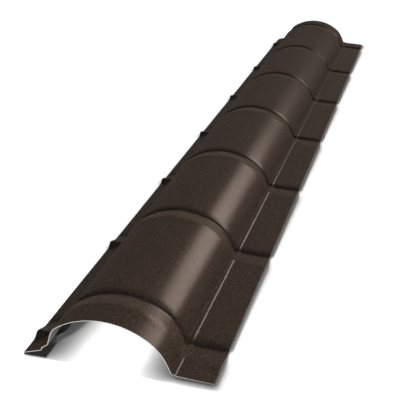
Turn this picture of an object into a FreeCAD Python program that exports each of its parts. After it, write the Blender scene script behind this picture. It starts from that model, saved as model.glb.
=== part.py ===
import FreeCAD, Part
import math
import os

# Roof ridge cap: one formed sheet. A half-round barrel is pressed with a row of equal
# steps, with a hooked flange on its left and a plain flange on its right.
# X is across the cap, Y along it with the near end at -Y, Z up from the floor it lies on.

doc = FreeCAD.newDocument("roof_ridge_cap")

# Driving dimensions, in millimetres and degrees
dimensions = [
    ("sheet_thickness", 1.0),
    ("step_count", 7),
    ("pitch", 305.0),
    ("front_length", 86.0),
    ("tail_length", 54.0),
    ("ramp_length", 44.0),
    ("rib_rise_length", 11.0),
    ("crown_height", 72.5),
    ("crown_radius", 117.0),
    ("shoulder_start_angle", 35.0),
    ("left_shoulder_radius", 24.0),
    ("right_shoulder_radius", 72.0),
    ("left_side_height", 16.0),
    ("right_side_height", 14.0),
    ("foot_radius", 3.0),
    ("bend_radius", 1.3),
    ("hook_width", 34.5),
    ("hook_web_height", 0.6),
    ("left_flange_width", 28.0),
    ("left_flange_rise", 5.6),
    ("notch_run", 1.2),
    ("notch_rise", 4.6),
    ("left_ledge_width", 5.2),
    ("left_ledge_rise", 6.0),
    ("right_ledge_width", 1.0),
    ("right_ledge_rise", 0.6),
    ("ledge_edge_run", 2.2),
    ("ledge_edge_rise", 1.6),
    ("right_flange_width", 55.0),
    ("right_flange_rise", 3.2),
    ("barrel_step", 4.4),
    ("left_foot_step", 4.0),
    ("left_edge_step", 7.5),
    ("right_flange_step", 2.6),
]
sheet = doc.addObject("Spreadsheet::Sheet", "Dimensions")
for row, (alias, value) in enumerate(dimensions, start=1):
    sheet.set("A%d" % row, alias)
    sheet.set("B%d" % row, str(value))
    sheet.setAlias("B%d" % row, alias)
doc.recompute()


def size(alias):
    return float(sheet.get(alias))


half_sheet = size("sheet_thickness") / 2
shoulder_start = math.radians(size("shoulder_start_angle"))

# Two arcs whose ends lie closer than this run straight into each other
meeting_gap = 0.001


# Shoulder and foot of one side of the barrel, as distances out from its axis.
# The shoulder arc leaves the crown arc at the start angle and ends in a straight side.
def barrel_side(shoulder_radius, side_height, foot_z, lift):
    crown_radius = size("crown_radius") + lift
    radius = shoulder_radius + lift
    crown_center_z = size("crown_height") - size("crown_radius")
    join_out = crown_radius * math.sin(shoulder_start)
    join_z = crown_center_z + crown_radius * math.cos(shoulder_start)
    drop = join_z - foot_z - side_height
    slope = math.acos(math.cos(shoulder_start) - drop / radius)
    reach = radius * math.tan((slope - shoulder_start) / 2)
    corner_out = join_out + reach * math.cos(shoulder_start)
    corner_z = join_z - reach * math.sin(shoulder_start)
    foot_out = corner_out + (corner_z - foot_z) / math.tan(slope)
    return (corner_out, corner_z, radius), (foot_out, foot_z, size("foot_radius"))


def left_side(share):
    edge_top_z = half_sheet + 2 * size("bend_radius") + size("hook_web_height")
    notch_z = edge_top_z + size("left_flange_rise") + size("left_foot_step") * share
    ledge_z = notch_z + size("notch_rise")
    foot_z = ledge_z + size("left_ledge_rise")
    side = barrel_side(size("left_shoulder_radius"), size("left_side_height"), foot_z,
                       size("barrel_step") * share)
    return side, ledge_z, notch_z


def right_side(share):
    edge_z = half_sheet + size("right_flange_step") * share
    flange_top_z = edge_z + size("right_flange_rise")
    ledge_z = flange_top_z + size("ledge_edge_rise")
    foot_z = ledge_z + size("right_ledge_rise")
    side = barrel_side(size("right_shoulder_radius"), size("right_side_height"), foot_z,
                       size("barrel_step") * share)
    return side, ledge_z, flange_top_z, edge_z


# The flanges start where the barrel is widest, at the top of a step, and run straight
# along the cap. The axis is placed so that the whole cap is centred on X.
widest_left_foot = left_side(1)[0][1][0]
widest_right_foot = right_side(1)[0][1][0]
left_ledge_out = widest_left_foot + size("foot_radius") + size("left_ledge_width")
notch_out = left_ledge_out + size("notch_run")
left_edge_out = notch_out + size("left_flange_width")
right_ledge_out = widest_right_foot + size("foot_radius") + size("right_ledge_width")
flange_top_out = right_ledge_out + size("ledge_edge_run")
right_edge_out = flange_top_out + size("right_flange_width")
axis_x = (left_edge_out + half_sheet - right_edge_out) / 2


# Corners of the sheet's middle line at one station, as x, z and bend radius.
# share is how much of the step height the barrel has there, edge_share the left edge.
def middle_line(share, edge_share):
    (left_shoulder, left_foot), left_ledge_z, notch_z = left_side(share)
    (right_shoulder, right_foot), right_ledge_z, flange_top_z, right_edge_z = right_side(share)
    bend = size("bend_radius")
    hook_z = half_sheet + size("left_edge_step") * edge_share
    edge_top_z = hook_z + 2 * bend + size("hook_web_height")
    crown_radius = size("crown_radius") + size("barrel_step") * share
    crown_center_z = size("crown_height") - size("crown_radius")
    apex_z = crown_center_z + crown_radius / math.cos(shoulder_start)
    return [
        (axis_x - left_edge_out + size("hook_width"), hook_z, 0),
        (axis_x - left_edge_out, hook_z, bend),
        (axis_x - left_edge_out, edge_top_z, bend),
        (axis_x - notch_out, notch_z, bend),
        (axis_x - left_ledge_out, left_ledge_z, bend),
        (axis_x - left_foot[0], left_foot[1], left_foot[2]),
        (axis_x - left_shoulder[0], left_shoulder[1], left_shoulder[2]),
        (axis_x, apex_z, crown_radius),
        (axis_x + right_shoulder[0], right_shoulder[1], right_shoulder[2]),
        (axis_x + right_foot[0], right_foot[1], right_foot[2]),
        (axis_x + right_ledge_out, right_ledge_z, bend),
        (axis_x + flange_top_out, flange_top_z, bend),
        (axis_x + right_edge_out, right_edge_z, 0),
    ]


# Edges of the middle line moved sideways by offset, with every bend a tangent arc
def offset_edges(corners, offset):
    points = [FreeCAD.Vector(x, 0, z) for x, z, bend in corners]
    last = len(points) - 1
    along = [(points[i + 1] - points[i]).normalize() for i in range(last)]
    normals = [FreeCAD.Vector(-direction.z, 0, direction.x) for direction in along]
    moved = [points[0] + normals[0] * offset]
    for i in range(1, last):
        shift = offset / (1 + normals[i - 1].dot(normals[i]))
        moved.append(points[i] + (normals[i - 1] + normals[i]) * shift)
    moved.append(points[last] + normals[last - 1] * offset)

    edges = []
    start = moved[0]
    for i in range(1, last):
        before = along[i - 1]
        after = along[i]
        turn = math.copysign(1, before.z * after.x - before.x * after.z)
        radius = corners[i][2] + offset * turn
        half_turn = before.getAngle(after) / 2
        reach = radius * math.tan(half_turn)
        arc_start = moved[i] - before * reach
        arc_end = moved[i] + after * reach
        inward = (after - before).normalize()
        arc_middle = moved[i] + inward * (radius / math.cos(half_turn) - radius)
        if start.distanceToPoint(arc_start) > meeting_gap:
            edges.append(Part.LineSegment(start, arc_start).toShape())
        edges.append(Part.Arc(arc_start, arc_middle, arc_end).toShape())
        start = arc_end
    edges.append(Part.LineSegment(start, moved[last]).toShape())
    return edges


# Closed outline of the cut sheet
def sheet_outline(share, edge_share):
    corners = middle_line(share, edge_share)
    upper = offset_edges(corners, half_sheet)
    lower = offset_edges(corners, -half_sheet)
    right_cut = Part.LineSegment(upper[-1].lastVertex().Point, lower[-1].lastVertex().Point)
    left_cut = Part.LineSegment(lower[0].firstVertex().Point, upper[0].firstVertex().Point)
    loop = upper + [right_cut.toShape()] + lower[::-1] + [left_cut.toShape()]
    return Part.Wire(Part.__sortEdges__(loop))


# The barrel grows evenly from each valley to the next crest, then falls down the ramp
def share_before_crest(distance):
    return 1 - distance / (size("pitch") - size("ramp_length"))


rim_share = share_before_crest(size("front_length") - size("ramp_length"))
rib_share = share_before_crest(size("rib_rise_length"))
tail_share = share_before_crest(size("pitch") - size("ramp_length") - size("tail_length"))
outlines = {
    "rim": sheet_outline(rim_share, 0),
    "rib": sheet_outline(rib_share, 0),
    "crest": sheet_outline(1, 1),
    "valley": sheet_outline(0, 0),
    "tail": sheet_outline(tail_share, 0),
}

# Places along the length, as expressions on the sheet
near_end = ("-(Dimensions.front_length + (Dimensions.step_count - 1) * Dimensions.pitch"
            " + Dimensions.tail_length) / 2")
valley_place = near_end + " + Dimensions.front_length + %d * Dimensions.pitch"
crest_place = valley_place + " - Dimensions.ramp_length"
rib_place = crest_place + " - Dimensions.rib_rise_length"


def add_section(name, outline, place):
    section = doc.addObject("Part::Feature", name)
    section.Shape = outlines[outline]
    section.setExpression("Placement.Base.y", place)
    return section


steps = int(size("step_count"))
sections = [add_section("NearRim", "rim", near_end)]
for step in range(steps):
    sections.append(add_section("Rib%d" % step, "rib", rib_place % step))
    sections.append(add_section("Crest%d" % step, "crest", crest_place % step))
    sections.append(add_section("Valley%d" % step, "valley", valley_place % step))
far_end = valley_place % (steps - 1) + " + Dimensions.tail_length"
sections.append(add_section("FarRim", "tail", far_end))
doc.recompute()

ridge_cap = doc.addObject("Part::Loft", "RidgeCap")
ridge_cap.Label = "ridge_cap"
ridge_cap.Sections = sections
ridge_cap.Solid = True
ridge_cap.Ruled = True
doc.recompute()

for item in doc.Objects:
    if "Invalid" in item.State or "Error" in item.State:
        raise RuntimeError("%s did not build" % item.Label)
if ridge_cap.Shape.isNull() or not ridge_cap.Shape.isValid():
    raise RuntimeError("ridge_cap has no valid shape")

os.makedirs("parts", exist_ok=True)
ridge_cap.Shape.exportStep("parts/ridge_cap.step")
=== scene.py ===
import math

import bmesh
import bpy
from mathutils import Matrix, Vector


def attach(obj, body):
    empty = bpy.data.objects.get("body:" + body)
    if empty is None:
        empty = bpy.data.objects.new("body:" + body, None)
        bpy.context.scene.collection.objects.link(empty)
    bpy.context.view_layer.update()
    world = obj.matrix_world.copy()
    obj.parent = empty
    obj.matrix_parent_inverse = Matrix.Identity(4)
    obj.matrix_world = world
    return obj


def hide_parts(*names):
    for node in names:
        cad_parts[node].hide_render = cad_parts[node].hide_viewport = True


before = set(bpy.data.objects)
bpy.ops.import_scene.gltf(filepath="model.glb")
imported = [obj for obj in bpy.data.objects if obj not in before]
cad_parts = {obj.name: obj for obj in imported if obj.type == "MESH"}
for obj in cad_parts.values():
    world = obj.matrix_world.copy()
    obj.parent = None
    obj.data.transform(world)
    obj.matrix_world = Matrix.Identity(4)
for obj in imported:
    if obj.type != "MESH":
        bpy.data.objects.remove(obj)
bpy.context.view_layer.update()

# Sizes of the cap, in metres
SHEET = 0.001
STEPS = 7
PITCH = 0.305
FRONT = 0.086
TAIL = 0.054
RAMP = 0.044
RIB_RISE = 0.011
LENGTH = FRONT + (STEPS - 1) * PITCH + TAIL
# From each valley to the next crest
RISE = PITCH - RAMP

CROWN_HEIGHT = 0.0725
CROWN_RADIUS = 0.117
SHOULDER_START = math.radians(35)
LEFT_SHOULDER_RADIUS = 0.024
RIGHT_SHOULDER_RADIUS = 0.072
LEFT_SIDE_HEIGHT = 0.016
RIGHT_SIDE_HEIGHT = 0.014
FOOT_RADIUS = 0.003
BEND_RADIUS = 0.0013

HOOK_WIDTH = 0.0345
HOOK_WEB_HEIGHT = 0.0006
LEFT_FLANGE_WIDTH = 0.028
LEFT_FLANGE_RISE = 0.0056
NOTCH_RUN = 0.0012
NOTCH_RISE = 0.0046
LEFT_LEDGE_WIDTH = 0.0052
LEFT_LEDGE_RISE = 0.006
RIGHT_LEDGE_WIDTH = 0.001
RIGHT_LEDGE_RISE = 0.0006
LEDGE_EDGE_RUN = 0.0022
LEDGE_EDGE_RISE = 0.0016
RIGHT_FLANGE_WIDTH = 0.055
RIGHT_FLANGE_RISE = 0.0032

BARREL_STEP = 0.0044
LEFT_FOOT_STEP = 0.004
LEFT_EDGE_STEP = 0.0075
RIGHT_FLANGE_STEP = 0.0026

# Fine relief along the cap. The heights are shares of the step: how far the sheet dips at
# each valley, how high the small riser after it goes, the foot of the bead, and the crest
VALLEY_DIP = 0.2
RISER_SHARE = 0.32
FLANGE_DIP = 0.25
FLANGE_RISER_SHARE = 0.8
BEAD_FOOT = 0.86
CREST_START = 0.94
CREST_TOP = 0.955
# Lengths of the riser and of the top of the crest
RISER_RUN = 0.003
CREST_RUN = 0.008
# Pinch of the left edge at each crest: half the length of its rise, its end, and its top
# as a share of the step
EDGE_RISE = 0.005
EDGE_FALL = 0.030
EDGE_TOP = 1.2
# How much wider the edge of the right ledge gets on the ramps, and how soon
LEDGE_FADE = 0.006
FADE_RUN = 0.010
# Bend radius where the right side meets its ledge
TIGHT_FOOT = 0.001
# Half the length over which the sheet turns, along the cap
VALLEY_ROUND = 0.001
CREST_ROUND = 0.004
EDGE_ROUND = 0.003
EDGE_END_ROUND = 0.006
FLANGE_CREST_ROUND = 0.005

# Where the sheet is drawn, as distances from each valley, each bead's foot and each crest
VALLEY_SECTIONS = (-0.001, 0, 0.001, 0.0016, 0.0025, 0.0035, 0.02, 0.07, 0.13, 0.19, 0.23)
BEAD_SECTIONS = (-0.004, -0.002, 0, 0.002, 0.004)
CREST_SECTIONS = (-0.004, -0.002, 0, 0.002, 0.004, 0.006, 0.008, 0.010, 0.012,
                  0.018, 0.024, 0.030, 0.036)
# No section but the rim itself lies closer to a rim than this
RIM_GAP = 0.001
# Two ends that lie closer than this are one
MEETING_GAP = 0.00001

# Floor: how white it is, how much it glows where it is seen, and how far and how strongly
# painted shade darkens its colour where something stands on it
FLOOR_WHITE = 0.85
FLOOR_GLOW = 0.08
SHADE_REACH = 0.05
SHADE_POWER = 2.5


# One side of the barrel, as distances out from its axis: shoulder corner and foot corner
def barrel_side(shoulder_radius, side_height, foot_z, lift):
    crown_radius = CROWN_RADIUS + lift
    radius = shoulder_radius + lift
    join_out = crown_radius * math.sin(SHOULDER_START)
    join_z = CROWN_HEIGHT - CROWN_RADIUS + crown_radius * math.cos(SHOULDER_START)
    drop = join_z - foot_z - side_height
    slope = math.acos(math.cos(SHOULDER_START) - drop / radius)
    reach = radius * math.tan((slope - SHOULDER_START) / 2)
    corner_out = join_out + reach * math.cos(SHOULDER_START)
    corner_z = join_z - reach * math.sin(SHOULDER_START)
    foot_out = corner_out + (corner_z - foot_z) / math.tan(slope)
    return (corner_out, corner_z, radius), (foot_out, foot_z, FOOT_RADIUS)


def left_side(share):
    notch_z = SHEET / 2 + 2 * BEND_RADIUS + HOOK_WEB_HEIGHT + LEFT_FLANGE_RISE
    notch_z += LEFT_FOOT_STEP * share
    ledge_z = notch_z + NOTCH_RISE
    side = barrel_side(LEFT_SHOULDER_RADIUS, LEFT_SIDE_HEIGHT, ledge_z + LEFT_LEDGE_RISE,
                       BARREL_STEP * share)
    return side, ledge_z, notch_z


def right_side(share, flange_share):
    edge_z = SHEET / 2 + RIGHT_FLANGE_STEP * max(0.0, flange_share)
    flange_top_z = SHEET / 2 + RIGHT_FLANGE_RISE + RIGHT_FLANGE_STEP * flange_share
    ledge_z = flange_top_z + LEDGE_EDGE_RISE
    side = barrel_side(RIGHT_SHOULDER_RADIUS, RIGHT_SIDE_HEIGHT, ledge_z + RIGHT_LEDGE_RISE,
                       BARREL_STEP * share)
    return side, ledge_z, flange_top_z, edge_z


LEFT_LEDGE_OUT = left_side(1)[0][1][0] + FOOT_RADIUS + LEFT_LEDGE_WIDTH
NOTCH_OUT = LEFT_LEDGE_OUT + NOTCH_RUN
LEFT_EDGE_OUT = NOTCH_OUT + LEFT_FLANGE_WIDTH
RIGHT_LEDGE_OUT = right_side(1, 1)[0][1][0] + FOOT_RADIUS + RIGHT_LEDGE_WIDTH
FLANGE_TOP_OUT = RIGHT_LEDGE_OUT + LEDGE_EDGE_RUN
RIGHT_EDGE_OUT = FLANGE_TOP_OUT + RIGHT_FLANGE_WIDTH
AXIS_X = (LEFT_EDGE_OUT + SHEET / 2 - RIGHT_EDGE_OUT) / 2


# Corners of the section as x, z, bend radius and number of segments in the bend
def section_corners(share, edge_share, flange_share, fade):
    (left_shoulder, left_foot), left_ledge_z, notch_z = left_side(share)
    right = right_side(share, flange_share)
    (right_shoulder, right_foot), right_ledge_z, flange_top_z, right_edge_z = right
    hook_z = SHEET / 2 + LEFT_EDGE_STEP * edge_share
    edge_top_z = hook_z + 2 * BEND_RADIUS + HOOK_WEB_HEIGHT
    crown_radius = CROWN_RADIUS + BARREL_STEP * share
    apex_z = CROWN_HEIGHT - CROWN_RADIUS + crown_radius / math.cos(SHOULDER_START)
    flat_start = LEDGE_FADE * fade
    flat_start_z = flange_top_z - RIGHT_FLANGE_RISE * flat_start / RIGHT_FLANGE_WIDTH
    return [
        (AXIS_X - LEFT_EDGE_OUT + HOOK_WIDTH, hook_z, 0, 0),
        (AXIS_X - LEFT_EDGE_OUT, hook_z, BEND_RADIUS, 5),
        (AXIS_X - LEFT_EDGE_OUT, edge_top_z, BEND_RADIUS, 5),
        (AXIS_X - NOTCH_OUT, notch_z, BEND_RADIUS, 3),
        (AXIS_X - LEFT_LEDGE_OUT, left_ledge_z, BEND_RADIUS, 3),
        (AXIS_X - left_foot[0], left_foot[1], left_foot[2], 4),
        (AXIS_X - left_shoulder[0], left_shoulder[1], left_shoulder[2], 10),
        (AXIS_X, apex_z, crown_radius, 28),
        (AXIS_X + right_shoulder[0], right_shoulder[1], right_shoulder[2], 14),
        (AXIS_X + right_foot[0], right_foot[1], TIGHT_FOOT, 4),
        (AXIS_X + RIGHT_LEDGE_OUT, right_ledge_z, BEND_RADIUS, 3),
        (AXIS_X + FLANGE_TOP_OUT + flat_start, flat_start_z, BEND_RADIUS, 3),
        (AXIS_X + RIGHT_EDGE_OUT, right_edge_z, 0, 0),
    ]


# Rounds a change of slope at distance zero over a width to either side
def rounding(distance, slope_change, width):
    inside = max(0.0, width - abs(distance))
    return slope_change * inside * inside / (4 * width)


# A line through knots of place and share, with each change of slope rounded
def rounded_line(place, knots):
    share = 0.0
    for (x0, y0, w0), (x1, y1, w1) in zip(knots, knots[1:]):
        if x0 <= place <= x1:
            share = y0 + (y1 - y0) * (place - x0) / (x1 - x0)
    slopes = [(b[1] - a[1]) / (b[0] - a[0]) for a, b in zip(knots, knots[1:])]
    for knot, before, after in zip(knots[1:-1], slopes, slopes[1:]):
        share += rounding(place - knot[0], after - before, knot[2])
    around = rounding(place, slopes[0] - slopes[-1], knots[0][2])
    return share + around + rounding(place - knots[-1][0], slopes[0] - slopes[-1], knots[-1][2])


# Shares of the step height at a distance along the cap from a valley, for the barrel,
# the left edge and the right flange, and how far the right ledge has flattened there.
# The barrel starts with a small riser, swells, bends over a bead at the crest and ramps down.
def step_shares(place):
    place = place % PITCH
    barrel = rounded_line(place, [(0, -VALLEY_DIP, VALLEY_ROUND),
                                  (RISER_RUN, RISER_SHARE, VALLEY_ROUND),
                                  (RISE - RIB_RISE, BEAD_FOOT, CREST_ROUND),
                                  (RISE, CREST_START, CREST_ROUND),
                                  (RISE + CREST_RUN, CREST_TOP, CREST_ROUND),
                                  (PITCH, -VALLEY_DIP, VALLEY_ROUND)])
    edge = rounded_line(place, [(0, 0, EDGE_ROUND),
                                (RISE - EDGE_RISE, 0, EDGE_ROUND),
                                (RISE + EDGE_RISE, EDGE_TOP, EDGE_ROUND),
                                (RISE + EDGE_FALL, 0, EDGE_END_ROUND),
                                (PITCH, 0, EDGE_ROUND)])
    flange = rounded_line(place, [(0, -FLANGE_DIP, VALLEY_ROUND),
                                  (RISER_RUN, FLANGE_RISER_SHARE, VALLEY_ROUND),
                                  (RISE - RIB_RISE, BEAD_FOOT, CREST_ROUND),
                                  (RISE, CREST_TOP, FLANGE_CREST_ROUND),
                                  (PITCH, -FLANGE_DIP, VALLEY_ROUND)])
    fade = min(1.0, max(0.0, (place - RISE) / FADE_RUN), (PITCH - place) / RISER_RUN)
    return barrel, edge, flange, fade


# One section of the sheet as a chain of edges: straight runs, and bends spun to their radii
def bent_section(y, shares):
    bm = bmesh.new()
    corners = section_corners(*shares)
    points = [Vector((x, y, z)) for x, z, radius, segments in corners]
    end = bm.verts.new(points[0])
    for i in range(1, len(corners) - 1):
        radius, segments = corners[i][2:]
        before = (points[i] - points[i - 1]).normalized()
        after = (points[i + 1] - points[i]).normalized()
        turn = before.angle(after)
        side = math.copysign(1, before.x * after.z - before.z * after.x)
        end = drawn_to(bm, end, points[i] - before * radius * math.tan(turn / 2))
        centre = end.co + Vector((-before.z, 0, before.x)) * side * radius
        spun = bmesh.ops.spin(bm, geom=[end], cent=centre, axis=(0, 1, 0),
                              angle=-side * turn, steps=segments)
        end = spun["geom_last"][0]
    drawn_to(bm, end, points[-1])
    section = bpy.data.meshes.new("section")
    bm.to_mesh(section)
    bm.free()
    return section


# A straight run from one vertex on to a place, unless it is there already
def drawn_to(bm, vert, place):
    if (vert.co - place).length < MEETING_GAP:
        return vert
    drawn = bmesh.ops.extrude_vert_indiv(bm, verts=[vert])["verts"][0]
    drawn.co = place
    return drawn


# Places of the sections along the cap: close together where the sheet turns
def section_places():
    turns = list(VALLEY_SECTIONS)
    turns += [RISE - RIB_RISE + distance for distance in BEAD_SECTIONS]
    turns += [RISE + distance for distance in CREST_SECTIONS]
    places = {0.0, LENGTH}
    for step in range(-1, STEPS):
        for turn in turns:
            place = FRONT + step * PITCH + turn
            if RIM_GAP < place < LENGTH - RIM_GAP:
                places.add(place)
    return sorted(places)


def press_cap():
    bm = bmesh.new()
    for place in section_places():
        section = bent_section(place - LENGTH / 2, step_shares(place - FRONT))
        bm.from_mesh(section)
        bpy.data.meshes.remove(section)
    bmesh.ops.bridge_loops(bm, edges=bm.edges)
    bmesh.ops.recalc_face_normals(bm, faces=bm.faces)
    top = max(bm.faces, key=lambda face: face.calc_center_median().z)
    if top.normal.z < 0:
        bmesh.ops.reverse_faces(bm, faces=bm.faces)
    for face in bm.faces:
        face.smooth = True
    mesh = bpy.data.meshes.new("ridge_cap_sheet")
    bm.to_mesh(mesh)
    bm.free()
    cap = bpy.data.objects.new("ridge_cap_sheet", mesh)
    bpy.context.scene.collection.objects.link(cap)
    mesh.materials.append(textured_coat())
    mesh.materials.append(back_coat())
    mesh.materials.append(cut_edge())
    wall = cap.modifiers.new("wall", "SOLIDIFY")
    wall.thickness = SHEET
    wall.offset = 0
    wall.use_even_offset = True
    wall.material_offset = 1
    wall.material_offset_rim = 2
    return thickened(cap)


# Gives the sheet its wall for good, and keeps the cut edges crisp
def thickened(cap):
    graph = bpy.context.evaluated_depsgraph_get()
    walled = bpy.data.meshes.new_from_object(cap.evaluated_get(graph))
    cap.modifiers.clear()
    cap.data = walled
    bm = bmesh.new()
    bm.from_mesh(walled)
    for edge in bm.edges:
        kinds = {face.material_index for face in edge.link_faces}
        edge.smooth = len(kinds) == 1
    bm.to_mesh(walled)
    bm.free()
    return cap


def new_material(name):
    material = bpy.data.materials.new(name)
    material.use_nodes = True
    nodes = material.node_tree.nodes
    return material, nodes, material.node_tree.links, nodes["Principled BSDF"]


def object_noise(nodes, links, scale, detail, roughness):
    coordinates = nodes.new("ShaderNodeTexCoord")
    noise = nodes.new("ShaderNodeTexNoise")
    noise.inputs["Scale"].default_value = scale
    noise.inputs["Detail"].default_value = detail
    noise.inputs["Roughness"].default_value = roughness
    links.new(coordinates.outputs["Object"], noise.inputs["Vector"])
    return noise


def ramp_between(nodes, links, source, low, high, start, end):
    ramp = nodes.new("ShaderNodeValToRGB")
    ramp.color_ramp.elements[0].position = start
    ramp.color_ramp.elements[0].color = (*low, 1)
    ramp.color_ramp.elements[1].position = end
    ramp.color_ramp.elements[1].color = (*high, 1)
    links.new(source, ramp.inputs["Fac"])
    return ramp


def spread(nodes, links, source, low, high):
    level = nodes.new("ShaderNodeMapRange")
    level.inputs["To Min"].default_value = low
    level.inputs["To Max"].default_value = high
    links.new(source, level.inputs["Value"])
    return level


# One Math node of two values, each a socket or a number
def combined(nodes, links, operation, first, second):
    node = nodes.new("ShaderNodeMath")
    node.operation = operation
    for socket, value in zip(node.inputs, (first, second)):
        if isinstance(value, float):
            socket.default_value = value
        else:
            links.new(value, socket)
    return node.outputs["Value"]


# Matt dark brown coat with a fine crinkled grain
def textured_coat():
    material, nodes, links, shader = new_material("textured_coat")
    grain = object_noise(nodes, links, scale=360, detail=4, roughness=0.7)
    colour = ramp_between(nodes, links, grain.outputs["Fac"],
                          low=(0.013, 0.0076, 0.0045), high=(0.059, 0.0405, 0.0295),
                          start=0.34, end=0.66)
    links.new(colour.outputs["Color"], shader.inputs["Base Color"])
    gloss = spread(nodes, links, grain.outputs["Fac"], low=0.43, high=0.49)
    links.new(gloss.outputs["Result"], shader.inputs["Roughness"])
    shader.inputs["Specular IOR Level"].default_value = 0.0
    shader.inputs["Coat Weight"].default_value = 0.045
    shader.inputs["Coat IOR"].default_value = 1.8
    shader.inputs["Coat Roughness"].default_value = 0.27
    bump = nodes.new("ShaderNodeBump")
    bump.inputs["Strength"].default_value = 0.2
    bump.inputs["Distance"].default_value = 0.0004
    links.new(grain.outputs["Fac"], bump.inputs["Height"])
    links.new(bump.outputs["Normal"], shader.inputs["Normal"])
    links.new(bump.outputs["Normal"], shader.inputs["Coat Normal"])
    return material


# Thin grey primer on the inside of the sheet
def back_coat():
    material, nodes, links, shader = new_material("back_coat")
    grain = object_noise(nodes, links, scale=60, detail=4, roughness=0.6)
    colour = ramp_between(nodes, links, grain.outputs["Fac"],
                          low=(0.085, 0.089, 0.088), high=(0.125, 0.129, 0.128),
                          start=0.35, end=0.65)
    links.new(colour.outputs["Color"], shader.inputs["Base Color"])
    gloss = spread(nodes, links, grain.outputs["Fac"], low=0.45, high=0.6)
    links.new(gloss.outputs["Result"], shader.inputs["Roughness"])
    return material


# Bare zinc and steel of the sheared edge
def cut_edge():
    material, nodes, links, shader = new_material("cut_edge")
    grain = object_noise(nodes, links, scale=900, detail=2, roughness=0.5)
    colour = ramp_between(nodes, links, grain.outputs["Fac"],
                          low=(0.42, 0.42, 0.41), high=(0.54, 0.54, 0.53),
                          start=0.3, end=0.7)
    links.new(colour.outputs["Color"], shader.inputs["Base Color"])
    gloss = spread(nodes, links, grain.outputs["Fac"], low=0.45, high=0.6)
    links.new(gloss.outputs["Result"], shader.inputs["Roughness"])
    shader.inputs["Metallic"].default_value = 0.3
    return material


# White floor that keeps the cap's shadow, a little whiter where it is seen, with painted shade
# darkening its colour round anything that stands on it
def floor_material():
    material, nodes, links, shader = new_material("white_floor")
    shader.inputs["Roughness"].default_value = 0.9
    shader.inputs["Specular IOR Level"].default_value = 0.0
    # Painted shade: ambient occlusion darkens the floor's colour near anything that stands on
    # it
    corners = nodes.new("ShaderNodeAmbientOcclusion")
    corners.samples = 16
    corners.inputs["Distance"].default_value = SHADE_REACH
    painted_shade = combined(nodes, links, "POWER", corners.outputs["AO"], SHADE_POWER)
    white = combined(nodes, links, "MULTIPLY", painted_shade, FLOOR_WHITE)
    links.new(white, shader.inputs["Base Color"])
    glow = nodes.new("ShaderNodeEmission")
    lift = combined(nodes, links, "MULTIPLY", seen_directly(nodes, links), FLOOR_GLOW)
    links.new(lift, glow.inputs["Strength"])
    add = nodes.new("ShaderNodeAddShader")
    output = nodes["Material Output"]
    links.new(shader.outputs["BSDF"], add.inputs[0])
    links.new(glow.outputs["Emission"], add.inputs[1])
    links.new(add.outputs["Shader"], output.inputs["Surface"])
    return material


# One for what the camera sees straight, through glass or in a mirror, and else zero
def seen_directly(nodes, links):
    path = nodes.new("ShaderNodeLightPath")
    seen = path.outputs["Is Camera Ray"]
    for kind in ("Is Glossy Ray", "Is Transmission Ray"):
        seen = combined(nodes, links, "MAXIMUM", seen, path.outputs[kind])
    return seen


def lay_floor():
    bm = bmesh.new()
    bmesh.ops.create_grid(bm, x_segments=1, y_segments=1, size=30)
    mesh = bpy.data.meshes.new("floor")
    bm.to_mesh(mesh)
    bm.free()
    floor = bpy.data.objects.new("floor", mesh)
    bpy.context.scene.collection.objects.link(floor)
    mesh.materials.append(floor_material())
    return floor


# Studio round the floor: white to the eye, through glass and in reflections,
# and else a low white band under dim walls
def studio_world():
    world = bpy.data.worlds.new("studio")
    bpy.context.scene.world = world
    world.use_nodes = True
    nodes = world.node_tree.nodes
    links = world.node_tree.links
    direction = nodes.new("ShaderNodeTexCoord")
    axes = nodes.new("ShaderNodeSeparateXYZ")
    links.new(direction.outputs["Generated"], axes.inputs["Vector"])
    walls = nodes.new("ShaderNodeMapRange")
    walls.interpolation_type = "SMOOTHSTEP"
    walls.inputs["From Min"].default_value = 0.0
    walls.inputs["From Max"].default_value = 0.16
    walls.inputs["To Min"].default_value = 1.0
    walls.inputs["To Max"].default_value = 0.1
    links.new(axes.outputs["Z"], walls.inputs["Value"])
    level = combined(nodes, links, "MAXIMUM", walls.outputs["Result"],
                     seen_directly(nodes, links))
    background = nodes["Background"]
    background.inputs["Color"].default_value = (1, 1, 1, 1)
    links.new(level, background.inputs["Strength"])


# Group that holds the one piece a lamp lights
def lit_alone(name, piece):
    group = bpy.data.collections.new(name)
    group.objects.link(piece)
    return group


# Lamp at a place, turned to a target, that lights one group
def hang_lamp(name, data, place, target, lit):
    lamp = bpy.data.objects.new(name, data)
    lamp.location = place
    lamp.rotation_euler = (Vector(target) - Vector(place)).to_track_quat("-Z", "Y").to_euler()
    lamp.light_linking.receiver_collection = lit
    bpy.context.scene.collection.objects.link(lamp)
    return lamp


# Broad soft light that doesn't show in the coat's sheen
def softbox(name, place, target, width, height, power, lit):
    data = bpy.data.lights.new(name, "AREA")
    data.shape = "RECTANGLE"
    data.size = width
    data.size_y = height
    data.energy = power
    lamp = hang_lamp(name, data, place, target, lit)
    lamp.visible_glossy = False
    return lamp


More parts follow.
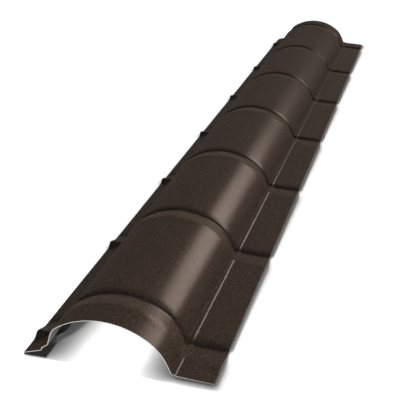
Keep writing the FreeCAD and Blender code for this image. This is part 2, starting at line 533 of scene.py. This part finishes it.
# Lamp that shows as a soft sheen on the coat and gives no other light
def sheen_lamp(name, place, target, width, height, power, colour, lit):
    lamp = softbox(name, place, target, width, height, power, lit)
    lamp.data.shape = "ELLIPSE"
    lamp.data.color = colour
    lamp.visible_glossy = True
    lamp.visible_diffuse = False


# Even light on the floor from low on the left, which draws the cap's soft shadow to its right
def floor_light(strength, lit):
    data = bpy.data.lights.new("floor_light", "SUN")
    data.energy = strength
    data.angle = math.radians(4.5)
    lamp = hang_lamp("floor_light", data, (-1.85, 0.15, 1.0), (0, 0, 0), lit)
    lamp.visible_glossy = False


# Camera in front of the near end, to its right, looking down along the cap
def set_camera():
    data = bpy.data.cameras.new("camera")
    data.lens = 78.06
    data.sensor_width = 36
    camera = bpy.data.objects.new("camera", data)
    camera.location = (0.38714, -1.93727, 0.72102)
    yaw = -0.27076
    pitch = 0.42145
    forward = Vector((math.sin(yaw) * math.cos(pitch), math.cos(yaw) * math.cos(pitch),
                      -math.sin(pitch)))
    camera.rotation_euler = forward.to_track_quat("-Z", "Y").to_euler()
    bpy.context.scene.collection.objects.link(camera)
    bpy.context.scene.camera = camera


cap = press_cap()
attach(cap, "root")
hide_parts("ridge_cap")

on_floor = lit_alone("on_floor", lay_floor())
on_cap = lit_alone("on_cap", cap)
studio_world()
# Low light from far behind, which draws the valleys, and a small one at the near end
softbox("behind", place=(3.0, 33.0, 8.0), target=(0.0, 0.0, 0.0),
        width=26.0, height=9.0, power=43000, lit=on_cap)
softbox("front", place=(0.9, -2.5, 0.55), target=(-0.02, -0.9, 0.0),
        width=0.8, height=0.8, power=15, lit=on_cap)
# The long highlight on the right of the barrel
sheen_lamp("sheen", place=(1.33, 1.70, 1.28), target=(0.05, -0.35, 0.05),
           width=1.8, height=1.05, power=190, colour=(1.0, 0.8, 0.7), lit=on_cap)
floor_light(strength=7.9, lit=on_floor)
# The pale floor just inside the near arch
under_arch = softbox("under_arch", place=(-0.2, -2.2, 0.42), target=(-0.03, -0.93, 0.0),
                     width=0.28, height=0.1, power=0.42, lit=on_floor)
under_arch.data.spread = math.radians(9)
set_camera()

bpy.context.scene.view_settings.view_transform = "Standard"
